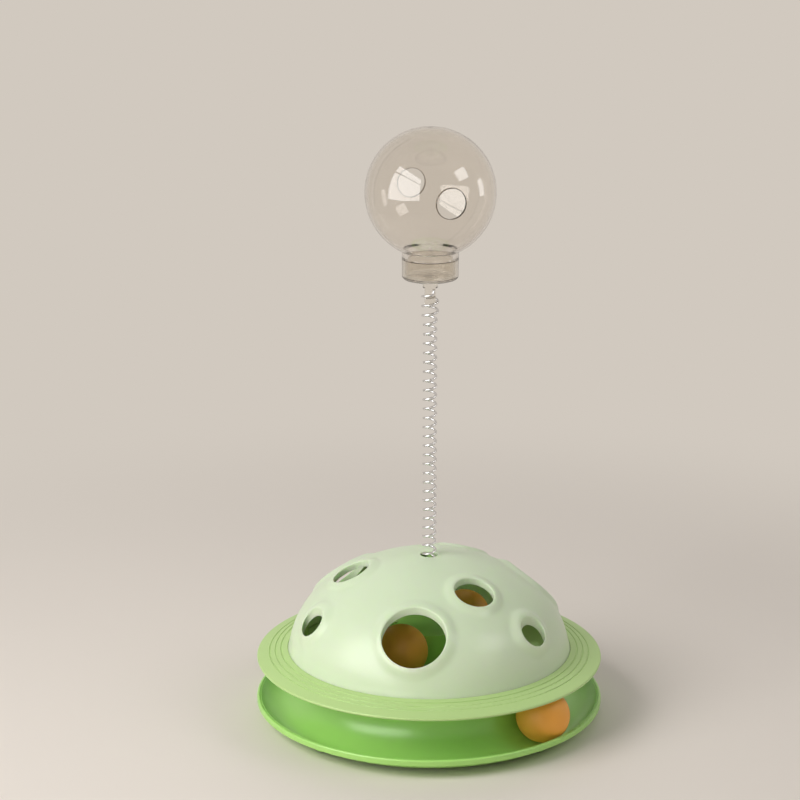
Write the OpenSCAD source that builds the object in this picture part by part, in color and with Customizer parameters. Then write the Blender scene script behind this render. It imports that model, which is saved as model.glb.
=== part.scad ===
// Treat-dispensing cat toy shaped like a flying saucer: a tray with a ball track, a brim,
// a cratered dome with balls inside, and a clear treat globe on a spring mast.
// Millimetres. Z points up, the origin is on the table under the middle of the tray.

/* [Balls] */
// Diameter of each play ball
ball_d = 36.5; // [32:0.5:40]
// Free play between a ball and the round track channel
ball_play = 1.75; // [1:0.05:3]
// Direction of the ball in the open track, seen from above
track_ball_az = -41; // [-60:1:-20]
// Direction of the first ball inside the dome
deck_ball_1_az = -118; // [-130:1:-105]
// Direction of the second ball inside the dome
deck_ball_2_az = 52; // [40:1:65]

/* [Tray] */
// Diameter of the tray over its lip
tray_d = 240; // [225:1:280]
// Wall of the tray
tray_wall = 2.2; // [1.6:0.1:3]
// Height of the tray lip above the table
lip_z = 14; // [11:0.5:18]
// Width of the lip bead
lip_w = 2.4; // [1.6:0.1:3.4]
// Height of the lip bead
lip_h = 4; // [3:0.1:6]
// Height of the inner deck above the table
deck_z = 39; // [36:0.5:44]
// Lean of the hub wall towards the axis
hub_draft = 2; // [0.5:0.5:4]
// Radius of the centre boss on the deck
boss_r = 22.3; // [18:0.1:25]
// Height of the centre boss above the deck
boss_h = 23.7; // [16:0.1:30]

/* [Feet] */
// Diameter of a rubber foot
pad_d = 10; // [8:0.5:12]
// Height of a rubber foot
pad_h = 2.2; // [2:0.1:3]
// Part of the foot that sits in its recess
pad_sunk = 1; // [0.6:0.1:1.2]
// Wall of the recess round a foot
pad_wall = 1.2; // [1:0.1:2]

/* [Brim] */
// Distance of the brim's edge inside the tray's lip
brim_inset = 0.5; // [0:0.1:2]
// Height of the lower edge of the brim above the table
brim_edge_z = 41.2; // [40:0.1:46]
// Sheet thickness of the brim
brim_t = 2.2; // [1.8:0.1:3]
// Height of the brim where it meets the dome
brim_top_z = 48; // [46.5:0.1:52]
// Distance of the first groove from the dome
groove_start = 3.8; // [3:0.1:6]
// Distance from one groove to the next
groove_pitch = 4; // [2.5:0.1:5]
// Number of grooves round the brim
groove_n = 3; // [0:1:4]
// Radius of a groove
groove_r = 0.6; // [0.3:0.05:0.9]

/* [Dome] */
// Distance from the tray's lip in to the dome at its widest
dome_inset = 22; // [18:0.5:25]
// Rise of the dome from its widest level to its crown
dome_rise = 74.5; // [66:0.5:84]
// Height of the widest level above the table
dome_eq_z = 40; // [38:0.5:42]
// Slope angle where the shoulder arc ends and the crown arc begins
dome_blend = 50; // [47:1:54]
// Radius of the shoulder arc over that of a smooth join with the crown
shoulder_full = 1.03; // [1.02:0.01:1.06]
// Wall of the dome
dome_wall = 2.6; // [2:0.1:3.2]
// Width of the raised rim round each crater
crater_rim = 3.6; // [2.5:0.1:5]
// Height of the rim above the dome
crater_h = 1.4; // [0.8:0.1:2]
// Widening of the rim's outer side over its height
crater_flare = 1.3; // [0.8:0.1:1.6]

/* [Dome lock] */
// Number of locking lugs
lug_n = 4; // [3:1:6]
// Angle that a lug takes up
lug_a = 14; // [10:1:16]
// Turn from locked to open
lock_turn = 16; // [12:1:20]
// Thickness of a lug
lug_t = 2.4; // [1.8:0.1:3]
// Height of the locking rim above the dome seat
lock_rim_h = 6.8; // [6:0.1:9]

/* [Spring mast] */
// Outside diameter of the spring
spring_od = 10; // [9:0.1:11]
// Diameter of the spring wire
wire_d = 1.7; // [1.2:0.1:2]
// Rise of the spring in one turn
spring_pitch = 6.5; // [5.5:0.1:8]
// Turns that are widened to grip the stem
grip_turns = 2; // [2:1:3]
// Height from the dome's crown to the shoulder of the stem
mast_h = 188; // [160:1:220]
// Diameter of the hole in the crown for the spring
crown_hole_d = 12.2; // [12:0.1:14]
// Depth of the spring seat below the crown
holder_drop = 7.8; // [7:0.1:9]
// Diameter of the holder's flange
holder_d = 36; // [34:0.5:44]
// Thickness of the holder's flange
holder_t = 2.4; // [2:0.1:3.5]

/* [Globe and cap] */
// Diameter of the globe
globe_d = 87.4; // [80:0.2:96]
// Wall of the globe
globe_wall = 1.8; // [1.4:0.1:2.4]
// Diameter of the two treat holes
treat_hole_d = 20; // [14:0.5:24]
// Direction of the front treat hole, seen from above
treat_hole_az = -72; // [-90:1:-50]
// Diameter of the cap and of the globe's collar
cap_d = 38; // [34:0.5:44]
// Height of the cap
cap_h = 14; // [12:0.5:18]
// Wall of the cap
cap_wall = 1.9; // [1.5:0.1:2.5]
// Height of the collar under the globe
collar_h = 4.4; // [3:0.1:6]
// Length of the globe's neck inside the cap
neck_l = 10; // [8:0.5:11]
// Diameter of the cap's stem
stem_d = 10.2; // [9.8:0.1:12]
// Length of the stem below the cap
stem_l = 6; // [4:0.5:9]
// Length of the thin spigot that the spring grips
spigot_l = 11.5; // [10:0.5:14]

/* [Screws] */
// Number of screws that hold the brim to the tray
brim_screw_n = 4; // [3:1:6]
// Diameter of a brim screw's shank
brim_screw_d = 2.9; // [2.2:0.1:3.5]
// Diameter of a holder screw's shank
holder_screw_d = 2.1; // [1.8:0.1:2.5]

/* [Hidden] */
// Rubber feet, one node each
pad_n = 4;

$fn = 96;

// Clearances between pieces that move apart, and between pieces that are only fastened
move_gap = 0.3;
seat_gap = 0.2;
screw_gap = 0.05;
// Extra length that lets a cut run past a face
past = 1;

// Track channel, worked out from the ball, the feet and the lip
ball_r = ball_d / 2;
tray_r = tray_d / 2;
dome_r = tray_r - dome_inset;
channel_r = ball_r + ball_play;
floor_z = pad_h + tray_wall;
pad_boss_z = pad_h - pad_sunk;
channel_z = floor_z + channel_r;
lip_r = tray_r - lip_w;
track_r = lip_r - sqrt(channel_r * channel_r - (channel_z - lip_z) * (channel_z - lip_z));
hub_r = track_r - channel_r;
hub_top_r = hub_r - (deck_z - channel_z) * tan(hub_draft);
hub_in_r = hub_r - tray_wall;
hub_top_in_r = hub_top_r - tray_wall;
deck_under_z = deck_z - tray_wall;
boss_top_z = deck_z + boss_h;
boss_foot_r = boss_r + boss_h * tan(hub_draft);

// Places of the balls
track_ball_z = floor_z + move_gap + ball_r;
deck_ball_z = deck_z + move_gap + ball_r;
deck_orbit_r = boss_r + 2 * move_gap + ball_r;

// Dome: a crown arc centred on the axis meets a shoulder arc centred off it, with a faint crease
arc_gap = (dome_r - dome_rise) / (sin(dome_blend) + cos(dome_blend) - 1);
shoulder_arc_r = shoulder_full * (dome_r - arc_gap * cos(dome_blend));
shoulder_c = dome_r - shoulder_arc_r;
join_r = shoulder_c + shoulder_arc_r * cos(dome_blend);
join_drop = dome_rise - shoulder_arc_r * sin(dome_blend);
crown_arc_r = (join_r * join_r + join_drop * join_drop) / (2 * join_drop);
apex_z = dome_eq_z + dome_rise;
crown_c_z = apex_z - crown_arc_r;

// Craters: direction seen from above, slope of the dome's normal, diameter as a share of the dome's radius
crater_kinds = [[-98, 45, 0.44], [-37, 36.5, 0.22], [-56.5, 64, 0.28]];
crater_sets = 3;
craters = [for (c = crater_kinds, k = [0 : crater_sets - 1]) [c[0] + k * 360 / crater_sets, c[1], c[2]]];
crater_reach = 14;
rim_reach = 9;

// Seat of the dome in the brim, and the locking rim inside it
seat_z = brim_top_z - 2 * lug_t;
dome_foot_z = seat_z + move_gap;
seat_wall_r = dome_r + move_gap;
lock_top_z = seat_z + lock_rim_h;
lock_rim_t = 3.1;
lock_out_r = dome_inner_r(lock_top_z) - move_gap;
lock_in_r = lock_out_r - lock_rim_t;
lug_lift = 0.8;
lug_z = seat_z + lug_lift;
lug_in_r = lock_in_r + lug_lift;
lug_slack_a = 1;
lug_turn_0 = 45;

// Brim: flange on the deck, lip round the hub, sheet out to the edge
brim_r = tray_r - brim_inset;
flange_t = 2.2;
flange_w = 14.5;
flange_in_r = hub_top_r - flange_w;
hub_lip_h = 3;
hub_lip_r = hub_top_r + hub_lip_h * tan(hub_draft) + seat_gap;
brim_edge_r = brim_t / 2;
brim_land = 0.7;
brim_flat_r = seat_wall_r + brim_land;
brim_slope = (brim_top_z - brim_edge_z - brim_t) / (brim_r - brim_edge_r - brim_flat_r);
ball_headroom = 0.5;
seat_under_z = track_ball_z + ball_r + ball_headroom;

// Brim screws, from below through the deck into bosses on the flange
brim_screw_r = hub_top_r - flange_w / 2;
brim_boss_d = 8;
brim_boss_h = 9;
brim_boss_top_z = deck_z + brim_boss_h;
brim_screw_l = 8.5;
brim_head_d = 6.4;
brim_head_h = 2;

// Spring holder under the crown; the wire's straight facets cut inside the coil by the chord's share
holder_top_z = apex_z - holder_drop;
holder_under_z = holder_top_z - holder_t;
holder_screw_x = 13;
holder_boss_d = 7;
holder_screw_l = 6;
holder_head_d = 4.6;
holder_head_h = 1.6;
spring_r = (spring_od - wire_d) / 2;
rings_per_turn = 8;
chord_share = cos(180 / rings_per_turn);
stud_r = spring_r * chord_share - wire_d / 2 - move_gap;
stud_drop = 1.5;
stud_top_z = apex_z - stud_drop;

// Cap and globe, stacked on the mast
shoulder_z = apex_z + mast_h;
spigot_z = shoulder_z - spigot_l;
cap_z = shoulder_z + stem_l;
cap_top_z = cap_z + cap_h;
cap_r = cap_d / 2;
cap_floor_t = 2.2;
cap_round = 2.5;
neck_r = cap_r - cap_wall - move_gap;
neck_z = cap_top_z - neck_l;
collar_z = cap_top_z + move_gap;
globe_r = globe_d / 2;
globe_c_z = collar_z + collar_h + sqrt(globe_r * globe_r - cap_r * cap_r);
neck_in_r = neck_r - globe_wall;

// Spring: main coil, widened grip coil, and a straight upright end at each seat
spigot_step = 1.35;
spigot_r = stem_d / 2 - spigot_step;
grip_r = (spigot_r + move_gap + wire_d / 2) / chord_share;
helix_slope = atan(spring_pitch / (2 * PI * spring_r));
bend_r = 1.5 * wire_d;
bend_a = 90 - helix_slope;
end_rise = wire_d + bend_r * sin(bend_a);
end_turn = bend_r * (1 - cos(bend_a)) / spring_r * 180 / PI;
spring_foot_z = holder_top_z + move_gap;
spring_head_z = shoulder_z - move_gap;
coil_z0 = spring_foot_z + end_rise;
coil_z1 = spring_head_z - end_rise;
coil_turns = (coil_z1 - coil_z0) / spring_pitch;
wire_sides = 6;
bend_steps = 3;
coil_rings = ceil(coil_turns * rings_per_turn);

// Radius of the dome's inner face at height z on the shoulder arc
function dome_inner_r(z) =
  shoulder_c + sqrt(pow(shoulder_arc_r - dome_wall, 2) - pow(z - dome_eq_z, 2));

// Point [radius, height] on the dome whose normal has slope e
function dome_point(e) = e > dome_blend
  ? [crown_arc_r * cos(e), crown_c_z + crown_arc_r * sin(e)]
  : [shoulder_c + shoulder_arc_r * cos(e), dome_eq_z + shoulder_arc_r * sin(e)];

// How far a ball of radius rb falls away from its tangent plane at distance d
function fall(rb, d) = rb - sqrt(rb * rb - d * d);

// Smooth step from 0 to 1
function ease(t) = let (c = min(1, max(0, t))) c * c * (3 - 2 * c);

// Band of a ring between two angles, as a flat outline
module arc_band(centre, r, wall, a0, a1) {
  far = 3 * r;
  mid = (a0 + a1) / 2;
  intersection() {
    translate(centre)
      difference() {
        circle(r);
        circle(r - wall);
      }
    translate(centre)
      polygon([
        [0, 0],
        [far * cos(a0), far * sin(a0)],
        [far * cos(mid), far * sin(mid)],
        [far * cos(a1), far * sin(a1)]
      ]);
  }
}

// Copies its children n times round the axis, the first at angle a0
module around(n, a0 = 0) {
  for (i = [0 : n - 1])
    rotate([0, 0, a0 + i * 360 / n])
      children();
}

// Pan-head screw standing on its head, with the underside of the head at z = 0
module pan_screw(shank_d, shank_l, head_d, head_h) {
  cross_l = 0.6 * head_d;
  cross_w = 0.14 * head_d;
  cross_h = 0.6 * head_h;
  difference() {
    union() {
      cylinder(d = shank_d, h = shank_l);
      translate([0, 0, -head_h])
        cylinder(d1 = head_d - head_h / 2, d2 = head_d, h = head_h);
    }
    for (a = [0, 90])
      rotate([0, 0, a])
        translate([-cross_l / 2, -cross_w / 2, -head_h - past])
          cube([cross_l, cross_w, past + cross_h]);
  }
}

// Section of the tray: lip bead, round track channel, hub wall, deck and centre boss
module tray_section() {
  lip_a = -asin((channel_z - lip_z + lip_w / 2) / (channel_r + tray_wall / 2));
  arc_band([track_r, channel_z], channel_r + tray_wall, tray_wall, 180, 360 + lip_a);
  translate([lip_r, lip_z - lip_h])
    square([lip_w, lip_h - lip_w / 2]);
  translate([lip_r + lip_w / 2, lip_z - lip_w / 2])
    circle(lip_w / 2);
  polygon([
    [hub_in_r, channel_z],
    [hub_r, channel_z],
    [hub_top_r, deck_z],
    [hub_top_in_r, deck_z],
    [hub_top_in_r, deck_under_z]
  ]);
  translate([boss_r, deck_under_z])
    square([hub_top_in_r - boss_r, tray_wall]);
  polygon([
    [boss_foot_r - tray_wall, deck_under_z],
    [boss_foot_r, deck_z],
    [boss_r, boss_top_z],
    [0, boss_top_z],
    [0, boss_top_z - tray_wall],
    [boss_r - tray_wall, boss_top_z - tray_wall]
  ]);
}

module base_tray() {
  color([0.56, 0.78, 0.37])
    difference() {
      union() {
        rotate_extrude()
          tray_section();
        around(pad_n, 45)
          translate([track_r, 0, pad_boss_z])
            cylinder(d = pad_d + 2 * (seat_gap + pad_wall), h = floor_z - tray_wall / 2 - pad_boss_z);
      }
      around(pad_n, 45)
        translate([track_r, 0, pad_boss_z - past])
          cylinder(d = pad_d + 2 * seat_gap, h = past + pad_sunk);
      around(brim_screw_n)
        translate([brim_screw_r, 0, deck_under_z - past])
          cylinder(d = brim_screw_d + 2 * seat_gap, h = tray_wall + 2 * past);
    }
}

// Rubber foot number i, with a rounded lower edge
module anti_slip_pad(i) {
  pad_edge = 0.6;
  color([0.25, 0.27, 0.25])
    rotate([0, 0, 45 + (i - 1) * 360 / pad_n])
      translate([track_r, 0, 0]) {
        cylinder(d1 = pad_d - 2 * pad_edge, d2 = pad_d, h = pad_edge);
        translate([0, 0, pad_edge])
          cylinder(d = pad_d, h = pad_h - pad_edge);
      }
}

// Section of the brim: edge, sloping sheet, dome seat, locking rim and flange on the deck
module brim_section() {
  edge_in_r = brim_r - brim_edge_r;
  sheet_in_r = seat_wall_r + brim_t;
  sheet_under_z = brim_edge_z + (edge_in_r - sheet_in_r) * brim_slope;
  translate([edge_in_r, brim_edge_z + brim_edge_r])
    circle(brim_edge_r);
  polygon([
    [edge_in_r, brim_edge_z],
    [edge_in_r, brim_edge_z + brim_t],
    [brim_flat_r, brim_top_z],
    [seat_wall_r, brim_top_z],
    [seat_wall_r, seat_z],
    [lock_out_r, seat_z],
    [lock_out_r, lock_top_z],
    [lock_in_r, lock_top_z],
    [lock_in_r, seat_z],
    [hub_lip_r, deck_z + flange_t],
    [flange_in_r, deck_z + flange_t],
    [flange_in_r, deck_z],
    [hub_lip_r, deck_z],
    [hub_lip_r, deck_z - hub_lip_h],
    [hub_lip_r + flange_t, deck_z - hub_lip_h],
    [hub_lip_r + flange_t, deck_z],
    [lock_in_r, seat_under_z],
    [sheet_in_r, seat_under_z],
    [sheet_in_r, sheet_under_z]
  ]);
}

// Cut that lets one lug drop in and turn under the locking rim
module lock_slot() {
  entry_a = lug_a + 2 * lug_slack_a;
  cut_in_r = lock_in_r - past;
  cut_w = lock_rim_t + 2 * past;
  rotate([0, 0, -entry_a / 2])
    rotate_extrude(angle = entry_a / 2 + lock_turn)
      translate([cut_in_r, seat_z])
        square([cut_w, lug_z - seat_z + lug_t + move_gap]);
  rotate([0, 0, lock_turn - entry_a / 2])
    rotate_extrude(angle = entry_a)
      translate([cut_in_r, seat_z])
        square([cut_w, lock_rim_h + past]);
}

module brim_ring() {
  color([0.70, 0.83, 0.52])
    difference() {
      union() {
        rotate_extrude()
          brim_section();
        around(brim_screw_n)
          translate([brim_screw_r, 0, deck_z])
            cylinder(d = brim_boss_d, h = brim_boss_top_z - deck_z);
      }
      around(lug_n, lug_turn_0)
        lock_slot();
      around(brim_screw_n)
        translate([brim_screw_r, 0, deck_z - past])
          cylinder(d = brim_screw_d + 2 * screw_gap, h = past + brim_boss_top_z - deck_z - tray_wall / 2);
      for (i = [0 : groove_n - 1])
        let (r = brim_flat_r + groove_start + i * groove_pitch)
          rotate_extrude()
            translate([r, brim_top_z - (r - brim_flat_r) * brim_slope])
              circle(groove_r);
    }
}

module brim_screws() {
  color([0.72, 0.73, 0.75])
    around(brim_screw_n)
      translate([brim_screw_r, 0, deck_under_z])
        pan_screw(brim_screw_d, brim_screw_l, brim_head_d, brim_head_h);
}

// Places its children on the dome, with z along the normal at slope e and direction az
module on_dome(az, e) {
  p = dome_point(e);
  rotate([0, 0, az])
    translate([p[0], 0, p[1]])
      rotate([0, 90 - e, 0])
        children();
}

// Half section of the dome as if it were solid, with both arcs moved in by the wall
module dome_fill(wall) {
  crown_r = crown_arc_r - wall;
  side_r = shoulder_arc_r - wall;
  between = norm([shoulder_c, dome_eq_z - crown_c_z]);
  between_a = atan2(dome_eq_z - crown_c_z, shoulder_c);
  meet_a = between_a - acos((pow(between, 2) + pow(crown_r, 2) - pow(side_r, 2)) / (2 * between * crown_r));
  meet_z = crown_c_z + crown_r * sin(meet_a);
  intersection() {
    translate([0, crown_c_z])
      circle(crown_r);
    translate([0, meet_z])
      square([dome_r, dome_rise]);
  }
  intersection() {
    translate([shoulder_c, dome_eq_z])
      circle(side_r);
    translate([shoulder_c, dome_foot_z])
      square([dome_r, meet_z - dome_foot_z]);
  }
  translate([0, dome_foot_z])
    square([shoulder_c, meet_z - dome_foot_z]);
}

// Raised rim round a crater of radius r: a patch of a thicker dome inside a cone along the hole
module crater_band(az, e, r) {
  rim_r = r + crater_rim;
  flare = rim_reach * crater_flare;
  intersection() {
    rotate_extrude()
      difference() {
        dome_fill(-crater_h);
        dome_fill(dome_wall / 2);
      }
    on_dome(az, e)
      translate([0, 0, -rim_reach])
        cylinder(r1 = rim_r + flare, r2 = rim_r - flare, h = 2 * rim_reach);
  }
}

module dome() {
  lug_w = dome_inner_r(lug_z + lug_t) + dome_wall / 2 - lug_in_r;
  holder_boss_h = holder_drop - dome_wall / 2 - fall(crown_arc_r, holder_screw_x + holder_boss_d / 2);
  color([0.84, 0.89, 0.78])
    difference() {
      union() {
        rotate_extrude()
          difference() {
            dome_fill(0);
            dome_fill(dome_wall);
          }
        for (c = craters)
          crater_band(c[0], c[1], c[2] * dome_r / 2);
        around(lug_n, lug_turn_0)
          rotate([0, 0, -lug_a / 2])
            rotate_extrude(angle = lug_a)
              translate([lug_in_r, lug_z])
                square([lug_w, lug_t]);
        for (s = [-1, 1])
          translate([s * holder_screw_x, 0, holder_top_z])
            cylinder(d = holder_boss_d, h = holder_boss_h);
      }
      for (c = craters)
        on_dome(c[0], c[1])
          translate([0, 0, -crater_reach])
            cylinder(d = c[2] * dome_r, h = 2 * crater_reach);
      translate([0, 0, holder_top_z])
        cylinder(d = crown_hole_d, h = holder_drop + past);
      for (s = [-1, 1])
        translate([s * holder_screw_x, 0, holder_top_z - past])
          cylinder(d = holder_screw_d + 2 * screw_gap, h = past + holder_screw_l - holder_t + screw_gap);
    }
}

// Flanged plug with a stud that the spring is pushed onto
module spring_holder() {
  color([0.56, 0.78, 0.37])
    difference() {
      rotate_extrude()
        polygon([
          [0, holder_under_z],
          [holder_d / 2, holder_under_z],
          [holder_d / 2, holder_top_z],
          [stud_r, holder_top_z],
          [stud_r, stud_top_z - stud_r / 2],
          [stud_r / 2, stud_top_z],
          [0, stud_top_z]
        ]);
      for (s = [-1, 1])
        translate([s * holder_screw_x, 0, holder_under_z - past])
          cylinder(d = holder_screw_d + 2 * seat_gap, h = holder_t + 2 * past);
    }
}

module holder_screws() {
  color([0.72, 0.73, 0.75])
    for (s = [-1, 1])
      translate([s * holder_screw_x, 0, holder_under_z])
        pan_screw(holder_screw_d, holder_screw_l, holder_head_d, holder_head_h);
}

// Radius of the coil at turn t: it widens over one turn before the grip coils
function coil_r(t) =
  spring_r + (grip_r - spring_r) * ease(t - (coil_turns - grip_turns - 1));

// One ring station of the wire: [angle, height, slope of the wire, coil radius]
function foot_bend(f) = let (a = f * bend_a)
  [bend_r * (1 - cos(a)) / spring_r * 180 / PI - end_turn,
   spring_foot_z + wire_d + bend_r * sin(a), 90 - a, spring_r];
function head_bend(f) = let (a = (1 - f) * bend_a)
  [coil_turns * 360 + end_turn - bend_r * (1 - cos(a)) / spring_r * 180 / PI,
   spring_head_z - wire_d - bend_r * sin(a), 90 - a, grip_r];
stations = concat(
  [[-end_turn, spring_foot_z, 90, spring_r]],
  [for (i = [0 : bend_steps - 1]) foot_bend(i / bend_steps)],
  [for (i = [0 : coil_rings]) let (t = coil_turns * i / coil_rings)
    [t * 360, coil_z0 + t * spring_pitch, helix_slope, coil_r(t)]],
  [for (i = [1 : bend_steps]) head_bend(i / bend_steps)],
  [[coil_turns * 360 + end_turn, spring_head_z, 90, grip_r]]
);
station_n = len(stations);

function station_point(s) = [s[3] * cos(s[0]), s[3] * sin(s[0]), s[1]];

// Corner k of the wire's ring at a station, on the radial and the binormal direction
function wire_corner(s, k) = let (
    a = k * 360 / wire_sides,
    radial = [cos(s[0]), sin(s[0]), 0],
    side = [sin(s[0]) * sin(s[2]), -cos(s[0]) * sin(s[2]), cos(s[2])]
  ) station_point(s) + wire_d / 2 * (cos(a) * radial + sin(a) * side);

// Least distance between wire surfaces that are more than half a turn apart
function wire_gap() = min([
  for (i = [0 : station_n - 1])
    for (j = [i + 1 : min(station_n - 1, i + 2 * rings_per_turn)])
      if (abs(stations[j][0] - stations[i][0]) > 180)
        norm(station_point(stations[i]) - station_point(stations[j])) - wire_d
]);

module mast_spring() {
  echo(least_gap_of_spring_wire_mm = wire_gap());
  n = wire_sides;
  last = (station_n - 1) * n;
  points = [for (s = stations) for (k = [0 : n - 1]) wire_corner(s, k)];
  walls = [
    for (i = [0 : station_n - 2]) for (k = [0 : n - 1])
      let (a = i * n + k, b = i * n + (k + 1) % n)
        each [[a, b, b + n], [a, b + n, a + n]]
  ];
  ends = [for (k = [1 : n - 2]) each [[0, k + 1, k], [last, last + k, last + k + 1]]];
  color([0.80, 0.81, 0.83])
    polyhedron(points, concat(walls, ends));
}

// Clear cup with a stem; the globe's neck drops into it and the spring grips the spigot
module globe_cap() {
  color([0.82, 0.80, 0.76, 0.45])
    rotate_extrude() {
      difference() {
        union() {
          translate([0, cap_z])
            square([cap_r - cap_round, cap_h]);
          translate([0, cap_z + cap_round])
            square([cap_r, cap_h - cap_round]);
          translate([cap_r - cap_round, cap_z + cap_round])
            circle(cap_round);
        }
        translate([0, cap_z + cap_floor_t])
          square([cap_r - cap_wall, cap_h]);
      }
      translate([0, shoulder_z])
        square([stem_d / 2, stem_l + cap_floor_t / 2]);
      translate([0, spigot_z])
        square([spigot_r, spigot_l + past]);
    }
}

// Clear shell with a collar, a neck and two treat holes facing opposite ways
module treat_globe() {
  shell_in_r = globe_r - globe_wall;
  color([0.82, 0.79, 0.74, 0.4])
    difference() {
      union() {
        translate([0, 0, globe_c_z])
          sphere(globe_r);
        translate([0, 0, collar_z])
          cylinder(r = cap_r, h = collar_h + globe_wall);
        translate([0, 0, neck_z])
          cylinder(r = neck_r, h = neck_l + collar_h);
      }
      translate([0, 0, globe_c_z])
        sphere(shell_in_r);
      translate([0, 0, neck_z - past])
        cylinder(r = neck_in_r, h = past + globe_c_z - neck_z);
      translate([0, 0, globe_c_z])
        rotate([90, 0, 90 + treat_hole_az])
          cylinder(d = treat_hole_d, h = globe_d + 2 * past, center = true);
    }
}

// Play ball at direction az, on an orbit of radius r, with its centre at height z
module play_ball(az, r, z) {
  color([0.88, 0.58, 0.27])
    rotate([0, 0, az])
      translate([r, 0, z])
        sphere(ball_r);
}

base_tray();
anti_slip_pad(1);  // anti_slip_pad_1
anti_slip_pad(2);  // anti_slip_pad_2
anti_slip_pad(3);  // anti_slip_pad_3
anti_slip_pad(4);  // anti_slip_pad_4
brim_ring();
brim_screws();
dome();
spring_holder();
holder_screws();
mast_spring();
globe_cap();
treat_globe();
play_ball(track_ball_az, track_r, track_ball_z);  // track_ball
play_ball(deck_ball_1_az, deck_orbit_r, deck_ball_z);  // deck_ball_1
play_ball(deck_ball_2_az, deck_orbit_r, deck_ball_z);  // deck_ball_2
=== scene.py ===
"""Looks of the cat treat dispenser toy: dome with soft crater rims, wire spring, clear globe and cap."""
import math

import bmesh
import bpy
import numpy as np
from bpy.props import FloatProperty, FloatVectorProperty, IntProperty, PointerProperty
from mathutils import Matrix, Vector
from mathutils.geometry import delaunay_2d_cdt


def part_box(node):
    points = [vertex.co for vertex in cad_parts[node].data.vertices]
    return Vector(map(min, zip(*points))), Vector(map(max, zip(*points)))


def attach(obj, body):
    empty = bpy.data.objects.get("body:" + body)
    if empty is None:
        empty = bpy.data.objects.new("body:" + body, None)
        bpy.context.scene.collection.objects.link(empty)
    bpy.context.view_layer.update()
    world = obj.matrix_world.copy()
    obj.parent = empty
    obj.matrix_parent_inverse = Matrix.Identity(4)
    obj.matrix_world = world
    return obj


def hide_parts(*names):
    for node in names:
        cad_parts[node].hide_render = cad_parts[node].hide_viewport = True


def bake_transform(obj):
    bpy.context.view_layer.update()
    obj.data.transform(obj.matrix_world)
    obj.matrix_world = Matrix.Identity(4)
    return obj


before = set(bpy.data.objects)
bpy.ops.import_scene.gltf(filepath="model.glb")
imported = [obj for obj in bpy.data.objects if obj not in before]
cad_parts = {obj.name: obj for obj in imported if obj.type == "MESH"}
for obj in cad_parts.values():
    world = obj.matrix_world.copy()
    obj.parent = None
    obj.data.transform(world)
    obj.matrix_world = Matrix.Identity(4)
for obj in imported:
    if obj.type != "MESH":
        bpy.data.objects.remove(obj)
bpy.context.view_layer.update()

bl_info = {
    "name": "Cat treat dispenser toy",
    "version": (1, 0, 0),
    "blender": (4, 5, 0),
    "location": "View3D > Sidebar > Toy",
    "description": "Dresses the packed saucer toy with its finished surfaces and materials",
    "category": "Object",
}

MM = 0.001
TAU = 2 * math.pi

# Crater kinds as in the part's source: direction from above and slope of the normal, both in degrees, and
# diameter over the dome's radius. Every set round the dome has one crater of each kind.
CRATER_KINDS = ((-98, 45, 0.44), (-37, 36.5, 0.22), (-56.5, 64, 0.28))
CRATER_SETS = 3
CRATERS = tuple(
    (az + 360 / CRATER_SETS * k, slope, share)
    for az, slope, share in CRATER_KINDS for k in range(CRATER_SETS)
)

# Lips of the crown's hole, outside and inside
CROWN_LIPS = (0.5 * MM, 0.4 * MM)

# Distances from a hole's edge of the rings of mesh points round it, on the outer and on the inner face
OUTER_RINGS = np.array([0, 0.5, 1.1, 1.8, 2.6, 3.5, 4.6, 5.8, 7.2, 8.8]) * MM
INNER_RINGS = np.array([0, 1.6, 3.6]) * MM

# Heights in metres where the spring starts to bend, where its two lengths meet and where the bend ends
BEND_LEVELS = (0.1145, 0.208, 0.302)

# Turns at the spring's head that grip the spigot, and the bend at each end: radius over the wire, and steps
GRIP_TURNS = 2
BEND_SHARE = 1.5
BEND_STEPS = 8

# Specular level of the glossier mouldings
SHEEN = 0.7


def linear(red, green, blue):
    """Scene-linear colour of an 8-bit display colour."""
    part = np.array([red, green, blue]) / 255
    value = np.where(part <= 0.04045, part / 12.92, ((part + 0.055) / 1.055) ** 2.4)
    return tuple(float(v) for v in value)


def colour(title, about, red, green, blue):
    """Colour property with a default given as a display colour."""
    return FloatVectorProperty(
        name=title, description=about, subtype="COLOR", size=3, min=0, max=1,
        default=linear(red, green, blue),
    )


def length(title, about, millimetres):
    """Length property with a default given in millimetres."""
    return FloatProperty(
        name=title, description=about, unit="LENGTH", precision=5, default=millimetres * MM,
    )


def turning(title, about, degrees):
    """Angle property with a default given in degrees."""
    return FloatProperty(name=title, description=about, subtype="ANGLE", default=math.radians(degrees))


def number(title, about, count, least):
    """Whole number property with a default and a least value."""
    return IntProperty(name=title, description=about, default=count, min=least)


class DomeSizes(bpy.types.PropertyGroup):
    """Sizes of the dome's shell and of its crater rims."""

    radius: length("Radius", "Radius of the dome at its widest", 98)
    rise: length("Rise", "Rise from the widest level to the crown", 74.5)
    level: length("Widest level", "Height of the widest level above the table", 40)
    foot: length("Foot", "Height of the dome's lower edge", 43.5)
    wall: length("Wall", "Wall of the shell", 2.6)
    swell: length("Swell", "Height of the soft swelling round a crater", 1.9)
    spread: length("Spread", "Width of the swelling", 7.5)
    lip: length("Lip", "Radius of the lip outside", 1.2)
    inner_lip: length("Inner lip", "Radius of the lip inside", 0.4)
    crown_hole: length("Crown hole", "Diameter of the hole for the spring", 12.2)
    seat: length("Seat", "Radius of the upright foot that stands in the brim's seat", 98.15)
    seat_top: length("Seat top", "Height where the upright foot ends", 46)
    seat_fade: length("Seat fade", "Height over which the foot runs out into the dome", 6)
    cell: length("Cell", "Spacing of the shell's mesh", 2.2)


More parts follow.
